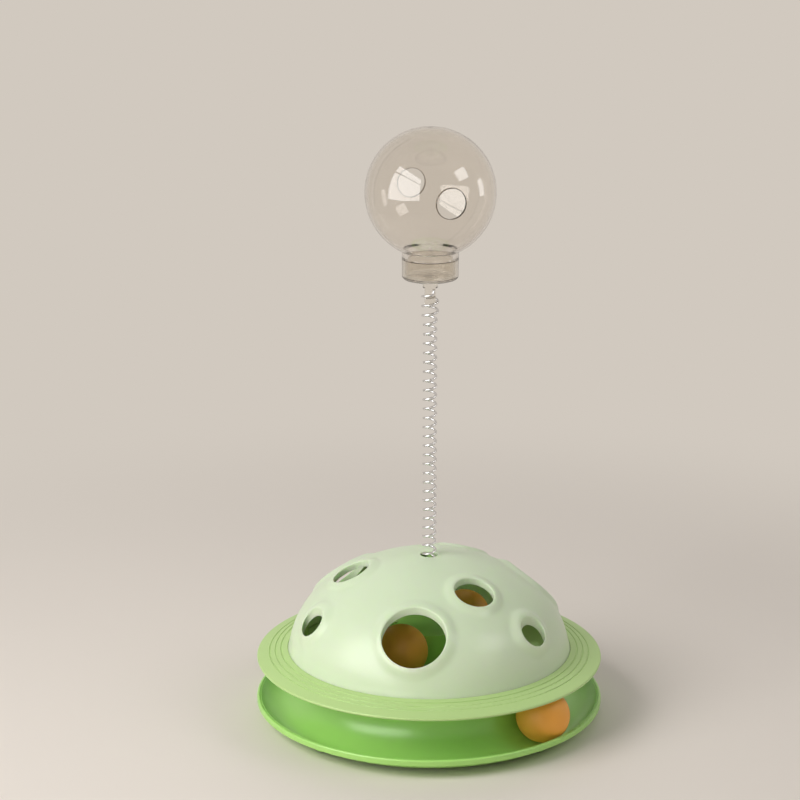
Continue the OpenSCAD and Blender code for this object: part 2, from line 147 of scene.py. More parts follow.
class LockSizes(bpy.types.PropertyGroup):
    """Sizes of the dome's locking lugs and of the bosses under its crown."""

    lugs: number("Lugs", "Number of lugs round the foot", 4, 1)
    lug_in: length("Lug inside", "Inner radius of a lug", 91.97)
    lug_out: length("Lug outside", "Outer radius of a lug", 96.3)
    lug_low: length("Lug underside", "Height of a lug's underside", 44)
    lug_high: length("Lug top", "Height of a lug's top", 46.4)
    lug_start: turning("Lug start", "Direction where the first lug starts", 38)
    lug_turn: turning("Lug turn", "Angle that a lug spans", 14)
    lug_steps: number("Lug steps", "Rows of points along a lug", 12, 2)
    corner: length("Corner", "Rounding of the lugs and cut of the bosses' lower edges", 0.3)
    boss_side: length("Boss side", "Distance of a boss from the axis", 13)
    boss_radius: length("Boss radius", "Radius of a boss", 3.5)
    boss_low: length("Boss underside", "Height of a boss's underside", 106.7)
    boss_high: length("Boss top", "Height where a boss ends in the shell", 111.5)


class SpringSizes(bpy.types.PropertyGroup):
    """Sizes of the wire spring."""

    wire: length("Wire", "Diameter of the wire", 1.7)
    coil: length("Coil", "Radius of the coil's centre line", 4.15)
    grip: length("Grip coil", "Radius of the coils that grip the spigot", 5.25)
    pitch: length("Pitch", "Rise in one turn", 6.5)
    foot: length("Foot", "Height of the wire's lower end", 107)
    head: length("Head", "Height of the wire's upper end", 302.2)
    rings: number("Rings", "Rings of the wire in one turn", 36, 8)
    sides: number("Sides", "Sides of the wire", 14, 6)


class ClearSizes(bpy.types.PropertyGroup):
    """Where the clear plastic has cut edges, which get a band of painted shade."""

    hole: length("Treat hole", "Radius of the treat holes", 10)
    hole_level: length("Hole level", "Height of the treat holes' axis", 366.55)
    hole_turn: turning("Hole turn", "Direction of the treat holes' axis", -72)
    seam: length("Seam", "Height of the cap's upper edge", 322.5)
    # Half the width of the painted shade band along a cut edge
    reach: length("Reach", "Half the width of a dark edge", 0.3)


class FinishColours(bpy.types.PropertyGroup):
    """Colours of the finishes."""

    tray: colour("Tray", "Green of the tray", 172, 226, 118)
    brim: colour("Brim", "Light green of the brim", 187, 217, 141)
    dome: colour("Dome", "Pale green of the dome", 217, 232, 199)
    ball: colour("Balls", "Orange of the balls", 255, 177, 70)
    wire: colour("Wire", "Bright steel of the spring", 226, 226, 228)
    # Painted shade: the dark drawn along the clear plastic's cut edges and the cap's seam, in place of the
    # dark that refraction makes there
    edge: colour("Edge", "Dark of the clear plastic's cut edges", 84, 72, 58)
    globe: colour("Globe", "Tint of the clear globe", 246, 243, 239)
    cap: colour("Cap", "Tint of the clear cap", 247, 244, 238)
    rubber: colour("Rubber", "Dark rubber of the feet", 58, 62, 58)
    zinc: colour("Zinc", "Plated steel of the screws", 196, 198, 202)
    floor: colour("Floor", "Plain pale floor", 231, 222, 212)
    backdrop: colour("Backdrop", "Even tone that the floor fades to", 209, 201, 191)
    even: colour("Even light", "Tone of the even light", 255, 253, 251)


class StageSizes(bpy.types.PropertyGroup):
    """Camera, floor and lamps."""

    lens: FloatProperty(
        name="Lens", description="Focal length of the camera", unit="CAMERA", default=104.84,
    )
    sensor: FloatProperty(
        name="Sensor", description="Width of the camera's frame", unit="CAMERA", default=36,
    )
    view_end: length("View end", "Distance where the camera stops seeing", 50000)
    pitch: turning("Pitch", "Tilt of the camera below the horizon", 15.444)
    eye: FloatVectorProperty(
        name="Eye", description="Place of the camera", subtype="TRANSLATION", size=3,
        default=(-0.02017, -1.5192, 0.64425),
    )
    ambient: FloatProperty(name="Ambient", description="Strength of the even light", default=0.23, min=0)
    floor_reach: length("Floor reach", "Radius of the floor", 6000)
    floor_sides: number("Floor sides", "Sides of the floor's outline", 96, 12)
    fade_start: length("Fade start", "Distance from the toy where the floor starts to fade", 280)
    fade_end: length("Fade end", "Distance from the toy where the floor has faded to the backdrop", 800)
    glow: FloatProperty(name="Glow", description="Brightness of the softboxes", default=3.2, min=0)


# Softboxes: name, place, point that they face, width, height, share of the glow, and what they are for
MIDDLE = (0, 0, 0.25)
SOFTBOXES = (
    ("window", (-0.814, -0.887, 0.639), (0.116, -0.520, 0.639), 1.437, 0.78, 1.15, "mirror"),
    ("upper_window", (-0.814, -0.887, 1.215), (0.116, -0.520, 1.215), 1.437, 0.27, 1.15, "mirror"),
    ("right_box", (1.113, -0.486, 1.130), MIDDLE, 0.55, 0.42, 1.1, "mirror"),
    ("edge_box", (1.465, 0.233, 0.475), MIDDLE, 0.3, 0.5, 0.8, "mirror"),
    ("key_light", (-1.118, -0.671, 1.177), MIDDLE, 1.1, 0.9, 1.9, "light"),
    ("low_light", (-1.194, -1.034, 0.505), MIDDLE, 0.9, 0.5, 0.9, "light"),
    ("right_light", (1.209, -0.403, 1.217), MIDDLE, 0.8, 0.8, 0.65, "light"),
    ("ceiling_light", (0, 3.68, 3.01), MIDDLE, 5.0, 4.0, 0.24, "light"),
)


# Meshes


def put_mesh(name, points, faces, material, smooth=True):
    """Object at the origin with these points and faces, doubles merged and faces turned outwards."""
    mesh = bpy.data.meshes.new(name)
    mesh.from_pydata(points.tolist(), [], [list(f) for f in faces])
    shape = bmesh.new()
    shape.from_mesh(mesh)
    bmesh.ops.remove_doubles(shape, verts=shape.verts, dist=1e-7)
    bmesh.ops.recalc_face_normals(shape, faces=shape.faces)
    shape.to_mesh(mesh)
    shape.free()
    mesh.polygons.foreach_set("use_smooth", np.full(len(mesh.polygons), smooth))
    mesh.materials.append(material)
    made = bpy.data.objects.new(name, mesh)
    bpy.context.scene.collection.objects.link(made)
    return made


def grid_faces(rows, columns):
    """Quads of a grid numbered row by row, with the last column joined to the first."""
    here = np.arange(rows - 1)[:, None] * columns
    above = here + columns
    j = np.arange(columns)[None, :]
    k = (j + 1) % columns
    quads = np.broadcast_arrays(here + j, here + k, above + k, above + j)
    return np.stack(quads, -1).reshape(-1, 4)


def swept_ring(section, start, turn, steps):
    """Closed outline of [radius, height] carried round the axis from start by turn, with flat ends."""
    angle = start + turn * np.linspace(0, 1, steps)
    count = len(section)
    points = np.stack([
        np.outer(np.cos(angle), section[:, 0]),
        np.outer(np.sin(angle), section[:, 0]),
        np.broadcast_to(section[:, 1], (steps, count)),
    ], -1).reshape(-1, 3)
    ends = [list(range(count)), list(range((steps - 1) * count, steps * count))]
    return points, grid_faces(steps, count).tolist() + ends


def round_box(low, high, radius, steps=4):
    """Outline of a rectangle from low to high whose corners are quarter circles."""
    quarter = np.linspace(0, math.pi / 2, steps)
    corners = [(high[0], high[1], 0), (low[0], high[1], 1), (low[0], low[1], 2), (high[0], low[1], 3)]
    rows = []
    for x, z, turn in corners:
        angle = quarter + turn * math.pi / 2
        inward = np.array([-1 if x == high[0] else 1, -1 if z == high[1] else 1])
        centre = np.array([x, z]) + radius * inward
        rows.append(centre + radius * np.stack([np.cos(angle), np.sin(angle)], -1))
    return np.concatenate(rows)


def stud(x, y, radius, low, high, corner, sides=40):
    """Upright round stud about the line x, y with flat ends; its lower edge is cut back by corner."""
    around = np.linspace(0, TAU, sides, endpoint=False)
    rows = [
        np.stack([x + r * np.cos(around), y + r * np.sin(around), np.full(sides, z)], -1)
        for r, z in ((radius - corner, low), (radius, low + corner), (radius, high))
    ]
    ends = [list(range(sides)), list(range(2 * sides, 3 * sides))]
    return np.concatenate(rows), grid_faces(3, sides).tolist() + ends


# Dome


def unit(v):
    """Vectors of length 1."""
    return v / np.linalg.norm(v, axis=-1, keepdims=True)


class DomeForm:
    """Outer face of the dome: a crown arc centred on the axis that meets a shoulder arc centred off it."""

    blend = math.radians(50)
    fullness = 1.03

    def __init__(self, sizes):
        reach = (sizes.radius - sizes.rise) / (math.sin(self.blend) + math.cos(self.blend) - 1)
        self.side_r = self.fullness * (sizes.radius - reach * math.cos(self.blend))
        self.side_c = sizes.radius - self.side_r
        self.level = sizes.level
        join_r = self.side_c + self.side_r * math.cos(self.blend)
        join_drop = sizes.rise - self.side_r * math.sin(self.blend)
        self.crown_r = (join_r ** 2 + join_drop ** 2) / (2 * join_drop)
        self.crown_z = sizes.level + sizes.rise - self.crown_r
        self.crown_a = math.acos(join_r / self.crown_r)
        self.join_s = self.crown_r * (math.pi / 2 - self.crown_a)
        foot_a = math.asin((sizes.foot - sizes.level) / self.side_r)
        self.foot_s = self.join_s + self.side_r * (self.blend - foot_a)

    def surface(self, s, az):
        """Points and outward normals at meridian distance s from the crown and direction az."""
        crown = s <= self.join_s
        e = np.where(crown, math.pi / 2 - s / self.crown_r, self.blend - (s - self.join_s) / self.side_r)
        r = np.where(crown, self.crown_r * np.cos(e), self.side_c + self.side_r * np.cos(e))
        z = np.where(crown, self.crown_z + self.crown_r * np.sin(e), self.level + self.side_r * np.sin(e))
        point = np.stack([r * np.cos(az), r * np.sin(az), z], -1)
        normal = np.stack([np.cos(e) * np.cos(az), np.cos(e) * np.sin(az), np.sin(e)], -1)
        return point, normal

    def place(self, p):
        """Meridian distance and direction of points, and how far they stand outside the face."""
        r, z = np.hypot(p[..., 0], p[..., 1]), p[..., 2]
        crown_e = np.arctan2(z - self.crown_z, r)
        side_e = np.arctan2(z - self.level, r - self.side_c)
        crown = crown_e >= self.crown_a
        crown_s = self.crown_r * (math.pi / 2 - crown_e)
        side_s = self.join_s + self.side_r * (self.blend - side_e)
        crown_out = np.hypot(r, z - self.crown_z) - self.crown_r
        side_out = np.hypot(r - self.side_c, z - self.level) - self.side_r
        az = np.arctan2(p[..., 1], p[..., 0])
        return np.where(crown, crown_s, side_s), az, np.where(crown, crown_out, side_out)

    def drop(self, p, axis, level=0.0, steps=8):
        """Points moved along axis until they stand level outside the face, by repeated straight steps."""
        for _ in range(steps):
            s, az, out = self.place(p)
            normal = self.surface(s, az)[1]
            p = p - ((out - level) / (normal @ axis))[..., None] * axis
        return p


class Hole:
    """Round hole in the dome whose wall runs straight down, as the mould is drawn: its axis, its edge on
    the swollen face, and the two rounded edges where the wall meets the outer and the inner face."""

    # Points round the edge: the fewest, the group that they come in, and their spacing
    fewest, group, spacing = 48, 8, 1.1 * MM
    # Depth behind the face where the dome's far side starts, and the distance given to points there
    far_side, far = 35 * MM, 1.0

    def __init__(self, form, az, slope, radius, swell, lip, inner_lip, wall):
        a, e = math.radians(az), math.radians(slope)
        self.axis = np.array([math.cos(e) * math.cos(a), math.cos(e) * math.sin(a), math.sin(e)])
        if e > form.crown_a:
            s = form.crown_r * (math.pi / 2 - e)
        else:
            s = form.join_s + form.side_r * (form.blend - e)
        self.centre = form.surface(np.array(s), np.array(a))[0]
        side = np.array([-math.sin(a), math.cos(a), 0])
        self.count = max(self.fewest, self.group * round(radius * TAU / self.spacing / self.group))
        phi = np.linspace(0, TAU, self.count, endpoint=False)
        radial = np.outer(np.cos(phi), side) + np.outer(np.sin(phi), np.cross(self.axis, side))
        self.radius, self.swell = radius, swell
        edge = form.drop(self.centre + radius * radial, self.axis, swell)
        along = np.roll(edge, -1, 0) - np.roll(edge, 1, 0)
        self.facing = unit(np.stack([-along[:, 1], along[:, 0], np.zeros(self.count)], -1))
        self.facing *= np.sign((self.facing * (self.centre - edge)).sum(-1))[:, None]
        below = form.drop(edge, np.array([0.0, 0.0, 1.0]), -wall)
        self.outer, self.lip = self.beside(form, edge, along, lip, swell, 1)
        self.inner, self.inner_lip = self.beside(form, below, along, inner_lip, -wall, -1)
        self.reach = self.distance(self.outer).max() - radius

    def beside(self, form, edge, along, most, level, way):
        """Where the rounding leaves the face, and its radius: the largest up to most that takes less than a
        third of most off the sharp edge. It leaves beside the edge by radius times the tangent of half the
        turn."""
        s, az, _ = form.place(edge)
        normal = form.surface(s, az)[1]
        turn = np.arccos(np.clip((way * normal * self.facing).sum(-1), -1, 1))
        radius = np.minimum(most, most / 3 / (1 / np.cos(turn / 2) - 1))
        away = unit(np.cross(along, normal))
        away *= -np.sign((away * self.facing).sum(-1))[:, None]
        point = edge + (radius * np.tan(turn / 2))[:, None] * away
        s, az, out = form.place(point)
        normal = form.surface(s, az)[1]
        return point + (level - out)[:, None] * normal, radius

    def distance(self, p):
        """Distance of points from the hole's axis; far for points on the other side of the dome."""
        d = p - self.centre
        along = d @ self.axis
        across = np.linalg.norm(d - along[..., None] * self.axis, axis=-1)
        return np.where(along > -self.far_side, across, self.far)

    def rings(self, form, first, offsets):
        """Rings of points on the dome's face round the hole: the first row, then offsets outside it."""
        base = form.surface(*form.place(first)[:2])[0]
        d = base - self.centre
        d = d - (d @ self.axis)[:, None] * self.axis
        reach = np.linalg.norm(d, axis=-1)[None, :] + np.array(offsets)[:, None]
        rows = form.drop(self.centre + reach[..., None] * unit(d)[None], self.axis)
        rows[0] = base
        return rows

    def wall_rows(self, form, steps=7):
        """Rows that roll from the outer face over the lip, straight down and round into the inner face."""
        def roll(edge, radius, first, last):
            """Rows on an arc of this radius from edge, as the direction turns evenly from first to last."""
            turn = np.arccos(np.clip((first * last).sum(-1), -1, 1))
            t = np.linspace(0, 1, steps)[:, None]
            ahead = (np.sin((1 - t) * turn) / np.sin(turn))[..., None] * first
            ahead = ahead + (np.sin(t * turn) / np.sin(turn))[..., None] * last
            return edge + radius[:, None] * (ahead - first)

        up = form.surface(*form.place(self.outer)[:2])[1]
        down = -form.surface(*form.place(self.inner)[:2])[1]
        top = roll(self.outer, self.lip, up, self.facing)
        bottom = roll(self.inner, self.inner_lip, down, self.facing)[::-1]
        return np.concatenate([top, bottom])


def dome_holes(form, sizes):
    """The craters and the crown's hole for the spring."""
    craters = [
        Hole(form, az, slope, share * sizes.radius / 2, sizes.swell, sizes.lip, sizes.inner_lip, sizes.wall)
        for az, slope, share in CRATERS
    ]
    return craters + [Hole(form, 0, 90, sizes.crown_hole / 2, 0, *CROWN_LIPS, sizes.wall)]


def sheet_points(form, holes, edges, offsets, cell, first=3 * MM, room=0.7):
    """Points of one face of the shell: rings round every hole, and elsewhere even circles of points from
    the first at the crown to the foot, with room for a share of a cell outside the rings."""
    rings = [hole.rings(form, edge, offsets) for hole, edge in zip(holes, edges)]
    circles = np.linspace(first, form.foot_s, int(form.foot_s / cell))
    lattice = []
    for k, s in enumerate(circles):
        r = np.hypot(*form.surface(np.array(s), np.array(0.0))[0][:2])
        count = max(8, int(r * TAU / cell))
        az = (np.arange(count) + 0.5 * (k % 2)) * TAU / count
        lattice.append(form.surface(np.full(count, s), az)[0])
    foot = lattice.pop()
    points = np.concatenate(lattice)
    clear = np.ones(len(points), bool)
    for hole, ring in zip(holes, rings):
        clear &= hole.distance(points) > hole.distance(ring[-1]).max() + room * cell
    return rings, points[clear], foot


def sheet_faces(form, rings, lattice, foot, whole_hull=0, tolerance=1e-9):
    """Delaunay triangles of a sheet on its flattened map, without those that cover a hole."""
    points = np.concatenate([ring.reshape(-1, 3) for ring in rings] + [lattice, foot])
    s, az, _ = form.place(points)
    flat = np.stack([s * np.cos(az), s * np.sin(az)], -1) / MM
    owner = np.full(len(points), -1)
    edges, start = [], 0
    for k, ring in enumerate(rings):
        count = ring.shape[1]
        index = start + np.arange(count)
        owner[index] = k
        edges += np.stack([index, np.roll(index, -1)], -1).tolist()
        start += ring.shape[0] * count
    corners = [Vector(v) for v in flat]
    _, _, triangles, sources, _, _ = delaunay_2d_cdt(corners, edges, [], whole_hull, tolerance)
    faces = np.array([ids[0] for ids in sources])[np.array(triangles)]
    who = owner[faces]
    covers = (who[:, 0] >= 0) & (who[:, 0] == who[:, 1]) & (who[:, 1] == who[:, 2])
    return points, faces[~covers]


def dome_shell(sizes):
    """Closed shell of the dome: outer sheet raised by the swellings, inner sheet a wall further in, joined
    at every hole by a rolled lip and at the foot by a flat edge."""
    form = DomeForm(sizes)
    holes = dome_holes(form, sizes)

    def raised(points):
        """Outer points moved out by the swellings, height times (1 - t)^2 (1 + 2 t) with t from the lip
        outwards, and near the foot to the upright seat."""
        s, az, _ = form.place(points)
        base, normal = form.surface(s, az)
        height = np.zeros(points.shape[:-1])
        for hole in holes:
            t = np.clip((hole.distance(points) - hole.radius - hole.reach) / sizes.spread, 0, 1)
            height += hole.swell * (1 - t) ** 2 * (1 + 2 * t)
        t = np.clip((sizes.seat_top + sizes.seat_fade - base[..., 2]) / sizes.seat_fade, 0, 1)
        height += (sizes.seat - np.hypot(base[..., 0], base[..., 1])) * t * t * (3 - 2 * t)
        return base + height[..., None] * normal

    def sunk(points):
        """Points moved in by the wall."""
        s, az, _ = form.place(points)
        base, normal = form.surface(s, az)
        return base - sizes.wall * normal

    edges, in_edges = [hole.outer for hole in holes], [hole.inner for hole in holes]
    rings, lattice, foot = sheet_points(form, holes, edges, OUTER_RINGS, sizes.cell)
    in_rings, in_lattice, in_foot = sheet_points(form, holes, in_edges, INNER_RINGS, sizes.cell)
    base, faces = sheet_faces(form, rings, lattice, foot)
    in_base, in_faces = sheet_faces(form, in_rings, in_lattice, in_foot)
    stack = [raised(base), sunk(in_base)]
    links = [faces.tolist(), (in_faces + len(base)).tolist()]
    total = len(base) + len(in_base)
    for hole in holes:
        rows = hole.wall_rows(form)
        stack.append(rows.reshape(-1, 3))
        links.append((grid_faces(len(rows), hole.count) + total).tolist())
        total += rows.shape[0] * rows.shape[1]
    edge = np.stack([raised(foot), sunk(in_foot)])
    stack.append(edge.reshape(-1, 3))
    links.append((grid_faces(2, len(foot)) + total).tolist())
    return np.concatenate(stack), [face for link in links for face in link]


# Spring


def wire_path(sizes):
    """Angle, height, slope and coil radius along the wire: a short upright end, a bend, the coil that
    widens over one turn before it grips the spigot, a bend and an upright end."""
    slope = math.atan(sizes.pitch / (TAU * sizes.coil))
    bend_r, bend = BEND_SHARE * sizes.wire, math.pi / 2 - slope
    rise = sizes.wire + bend_r * math.sin(bend)
    start, stop = sizes.foot + rise, sizes.head - rise
    turns = (stop - start) / sizes.pitch
    lead = bend_r * (1 - math.cos(bend)) / sizes.coil
    a = np.linspace(0, bend, BEND_STEPS + 1)[:-1]
    swing = bend_r * (1 - np.cos(a)) / sizes.coil
    climb = sizes.wire + bend_r * np.sin(a)
    t = np.linspace(0, turns, int(turns * sizes.rings))
    widen = np.clip(t - (turns - GRIP_TURNS - 1), 0, 1)
    coil = sizes.coil + (sizes.grip - sizes.coil) * widen ** 2 * (3 - 2 * widen)
    end, upright, back = turns * TAU + lead, [math.pi / 2], slice(None, None, -1)
    angle = np.concatenate([[-lead], swing - lead, t * TAU, (end - swing)[back], [end]])
    height = np.concatenate([
        [sizes.foot], sizes.foot + climb, start + t * sizes.pitch, (sizes.head - climb)[back], [sizes.head],
    ])
    lean = np.concatenate([
        upright, math.pi / 2 - a, np.full(len(t), slope), (math.pi / 2 - a)[back], upright,
    ])
    radius = np.concatenate([np.full(len(a) + 1, sizes.coil), coil, np.full(len(a) + 1, sizes.grip)])
    return angle, height, lean, radius


def wire_mesh(angle, height, lean, radius, sizes):
    """Round wire along the path; each ring spans the radial direction and the one square to the wire."""
    turn = np.linspace(0, TAU, sizes.sides, endpoint=False)
    radial = np.stack([np.cos(angle), np.sin(angle), np.zeros_like(angle)], -1)
    side = np.stack([np.sin(angle) * np.sin(lean), -np.cos(angle) * np.sin(lean), np.cos(lean)], -1)
    centre = radius[:, None] * radial
    centre[:, 2] = height
    ring = np.cos(turn)[None, :, None] * radial[:, None] + np.sin(turn)[None, :, None] * side[:, None]
    points = (centre[:, None] + sizes.wire / 2 * ring).reshape(-1, 3)
    count = sizes.sides
    ends = [list(range(count)), list(range(len(points) - count, len(points)))]
    return points, grid_faces(len(angle), count).tolist() + ends


# Materials


def add_node(tree, kind, values=None, **settings):
    """New shader node of a kind with these settings, and constants for inputs given by name or number."""
    made = tree.nodes.new("ShaderNode" + kind)
    for name, value in settings.items():
        setattr(made, name, value)
    for socket, value in (values or {}).items():
        made.inputs[socket].default_value = value
    return made


def new_group(title, inputs, outputs):
    """Shader node group with sockets given by name and kind; returns it with its inner sockets."""
    group = bpy.data.node_groups.new(title, "ShaderNodeTree")
    for way, sockets in (("INPUT", inputs), ("OUTPUT", outputs)):
        for name, kind in sockets.items():
            group.interface.new_socket(name=name, in_out=way, socket_type="NodeSocket" + kind)
    given = group.nodes.new("NodeGroupInput").outputs
    result = group.nodes.new("NodeGroupOutput").inputs
    return group, given, result


def skin_group():
    """Moulded plastic on Object coordinates: drift of colour, uneven gloss and fine spark-eroded grain."""
    found = bpy.data.node_groups.get("Moulded skin")
    if found:
        return found
    group, given, result = new_group(
        "Moulded skin",
        {"Colour": "Color", "Shade": "Color", "Drift scale": "Float", "Drift": "Float",
         "Grain scale": "Float", "Gloss": "Float", "Gloss spread": "Float"},
        {"Colour": "Color", "Roughness": "Float", "Height": "Float"},
    )
    where = add_node(group, "TexCoord").outputs["Object"]
    drift = add_node(group, "TexNoise", {"Detail": 3})
    grain = add_node(group, "TexNoise", {"Detail": 2})
    share = add_node(group, "Math", operation="MULTIPLY")
    mix = add_node(group, "Mix", data_type="RGBA")
    centre = add_node(group, "Math", {1: 0.5}, operation="SUBTRACT")
    rough = add_node(group, "Math", operation="MULTIPLY_ADD")
    link = group.links.new
    link(where, drift.inputs["Vector"])
    link(where, grain.inputs["Vector"])
    link(given["Drift scale"], drift.inputs["Scale"])
    link(given["Grain scale"], grain.inputs["Scale"])
    link(drift.outputs[0], share.inputs[0])
    link(given["Drift"], share.inputs[1])
    link(share.outputs[0], mix.inputs["Factor"])
    link(given["Colour"], mix.inputs["A"])
    link(given["Shade"], mix.inputs["B"])
    link(drift.outputs[0], centre.inputs[0])
    link(centre.outputs[0], rough.inputs[0])
    link(given["Gloss spread"], rough.inputs[1])
    link(given["Gloss"], rough.inputs[2])
    link(mix.outputs["Result"], result["Colour"])
    link(rough.outputs[0], result["Roughness"])
    link(grain.outputs[0], result["Height"])
    return group


def finish(
    name, tone, shade=0.9, drift=0.5, drift_scale=18, grain=1400, depth=0.00002, gloss=0.4, spread=0.1,
):
    """Material with a Principled shader fed by the moulded skin; returns the material and its shader."""
    made = bpy.data.materials.new(name)
    made.use_nodes = True
    tree = made.node_tree
    shader, link = tree.nodes["Principled BSDF"], tree.links.new
    skin = add_node(tree, "Group", node_tree=skin_group(), values={
        "Colour": (*tone, 1), "Shade": (*(shade * part for part in tone), 1), "Drift scale": drift_scale,
        "Drift": drift, "Grain scale": grain, "Gloss": gloss, "Gloss spread": spread,
    })
    bump = add_node(tree, "Bump", {"Distance": depth, "Strength": 0.6})
    link(skin.outputs["Colour"], shader.inputs["Base Color"])
    link(skin.outputs["Roughness"], shader.inputs["Roughness"])
    link(skin.outputs["Height"], bump.inputs["Height"])
    link(bump.outputs["Normal"], shader.inputs["Normal"])
    return made, shader


def metal(name, tone, gloss):
    """Bright metal whose gloss and tone drift with the moulded skin's noise."""
    made, shader = finish(
        name, tone, shade=0.82, drift_scale=160, grain=2600, depth=0.000008, gloss=gloss, spread=0.12,
    )
    shader.inputs["Metallic"].default_value = 1
    return made


def painted_edge_shade_group():
    """Painted shade: colour that turns dark where a value lies within reach of a level, standing in for the
    dark that light makes at a cut edge.
    """
    found = bpy.data.node_groups.get("Painted cut edge shade")
    if found:
        return found
    group, given, result = new_group(
        "Painted cut edge shade",
        {"Colour": "Color", "Dark": "Color", "Value": "Float", "Level": "Float", "Reach": "Float"},
        {"Colour": "Color"},
    )
    near = add_node(group, "Math", operation="COMPARE")
    mix = add_node(group, "Mix", data_type="RGBA")
    link = group.links.new
    for k, name in enumerate(("Value", "Level", "Reach")):
        link(given[name], near.inputs[k])
    link(near.outputs[0], mix.inputs["Factor"])
    link(given["Colour"], mix.inputs["A"])
    link(given["Dark"], mix.inputs["B"])
    link(mix.outputs["Result"], result["Colour"])
    return group


def clear_plastic(name, tone, dark, level, reach, gloss, line=None):
    """Clear polished plastic with faint hazy patches, and painted shade where the height, or the distance
    from a level line given by its height and direction, lies within reach of a level, standing in for the
    dark that light makes at a cut edge."""
    made, shader = finish(
        name, tone, shade=0.96, drift_scale=30, grain=300, depth=0.000002, gloss=gloss, spread=0.03,
    )
    shader.inputs["Transmission Weight"].default_value = 1
    shader.inputs["IOR"].default_value = 1.52
    tree = made.node_tree
    link = tree.links.new
    where = add_node(tree, "TexCoord").outputs["Object"]
    edge = add_node(tree, "Group", node_tree=painted_edge_shade_group(), values={
        "Dark": (*dark, 1), "Level": level, "Reach": reach,
    })
    if line:
        height, turn = line
        along = (math.cos(turn), math.sin(turn), 0)
        for operation, other in (("SUBTRACT", (0, 0, height)), ("CROSS_PRODUCT", along)):
            step = add_node(tree, "VectorMath", {1: other}, operation=operation)
            link(where, step.inputs[0])
            where = step.outputs["Vector"]
        size = add_node(tree, "VectorMath", operation="LENGTH")
        link(where, size.inputs[0])
        link(size.outputs["Value"], edge.inputs["Value"])
    else:
        split = add_node(tree, "SeparateXYZ")
        link(where, split.inputs[0])
        link(split.outputs["Z"], edge.inputs["Value"])
    link(shader.inputs["Base Color"].links[0].from_socket, edge.inputs["Colour"])
    link(edge.outputs["Colour"], shader.inputs["Base Color"])
    return made


def seen(tree):
    """Socket that is 1 where the eye, a mirror or clear plastic sees a surface, and 0 for light alone."""
    path = add_node(tree, "LightPath")
    total = path.outputs["Is Camera Ray"]
    for name in ("Is Glossy Ray", "Is Transmission Ray"):
        add = add_node(tree, "Math", operation="ADD", use_clamp=True)
        tree.links.new(total, add.inputs[0])
        tree.links.new(path.outputs[name], add.inputs[1])
        total = add.outputs[0]
    return total


def fade_out(material, shader, tone, start, end):
    """Lets a floor fade to an even tone, smoothly between two distances from the origin."""
    tree = material.node_tree
    link = tree.links.new
    away = add_node(tree, "VectorMath", operation="LENGTH")
    ramp = add_node(
        tree, "MapRange", {"From Min": start, "From Max": end}, interpolation_type="SMOOTHERSTEP",
    )
    share = add_node(tree, "Math", operation="MULTIPLY")
    even = add_node(tree, "Emission", {"Color": (*tone, 1)})
    mix = add_node(tree, "MixShader")
    link(add_node(tree, "TexCoord").outputs["Object"], away.inputs[0])
    link(away.outputs["Value"], ramp.inputs["Value"])
    link(ramp.outputs[0], share.inputs[0])
    link(seen(tree), share.inputs[1])
    link(share.outputs[0], mix.inputs["Fac"])
    link(shader.outputs[0], mix.inputs[1])
    link(even.outputs[0], mix.inputs[2])
    link(mix.outputs[0], tree.nodes["Material Output"].inputs["Surface"])


def dress(node, material):
    """Gives a CAD node this material in place of its own."""
    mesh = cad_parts[node].data
    mesh.materials.clear()
    mesh.materials.append(material)


# Operators


class TOY_OT_stage(bpy.types.Operator):
    """Plain pale floor, soft studio light and the camera"""

    bl_idname = "toy.stage"
    bl_label = "Stage"

    def execute(self, context):
        scene = context.scene
        sizes, tones = scene.toy_stage, scene.toy_colours
        scene.view_settings.view_transform = "Standard"
        around = np.linspace(0, TAU, sizes.floor_sides, endpoint=False)
        rim = sizes.floor_reach * np.stack([np.cos(around), np.sin(around), np.zeros_like(around)], -1)
        floor_finish, shader = finish(
            "Floor paint", tuple(tones.floor), shade=0.97, drift_scale=2, grain=400, gloss=0.8, spread=0.05,
        )
        fade_out(floor_finish, shader, tuple(tones.backdrop), sizes.fade_start, sizes.fade_end)
        floor = put_mesh("floor", rim, [list(range(len(rim)))], floor_finish, smooth=False)
        if floor.data.polygons[0].normal.z < 0:
            floor.data.flip_normals()
        for name, place, aim, width, height, share, use in SOFTBOXES:
            lamp = self.softbox(
                scene, name, Vector(place), Vector(aim), (width, height), share * sizes.glow,
            )
            lamp.visible_diffuse = use == "light"
            lamp.visible_glossy = lamp.visible_transmission = use == "mirror"
        world = bpy.data.worlds.new("Even light")
        world.use_nodes = True
        tree = world.node_tree
        mix = add_node(tree, "Mix", data_type="RGBA", values={
            "A": (*(sizes.ambient * part for part in tones.even), 1), "B": (*tones.backdrop, 1),
        })
        tree.links.new(seen(tree), mix.inputs["Factor"])
        tree.links.new(mix.outputs["Result"], tree.nodes["Background"].inputs["Color"])
        scene.world = world
        data = bpy.data.cameras.new("camera")
        data.sensor_width = sizes.sensor
        data.lens = sizes.lens
        data.clip_end = sizes.view_end
        camera = bpy.data.objects.new("camera", data)
        camera.location = sizes.eye
        camera.rotation_euler = (math.pi / 2 - sizes.pitch, 0, 0)
        scene.collection.objects.link(camera)
        scene.camera = camera
        return {"FINISHED"}

    def softbox(self, scene, name, place, aim, size, glow):
        """Rectangular lamp that faces a point; its power is glow times pi times its area."""
        data = bpy.data.lights.new(name, "AREA")
        data.shape = "RECTANGLE"
        data.size, data.size_y = size
        data.energy = glow * math.pi * size[0] * size[1]
        lamp = bpy.data.objects.new(name, data)
        lamp.location = place
        lamp.rotation_euler = (aim - place).to_track_quat("-Z", "Y").to_euler()
        lamp.visible_camera = False
        scene.collection.objects.link(lamp)
        return lamp


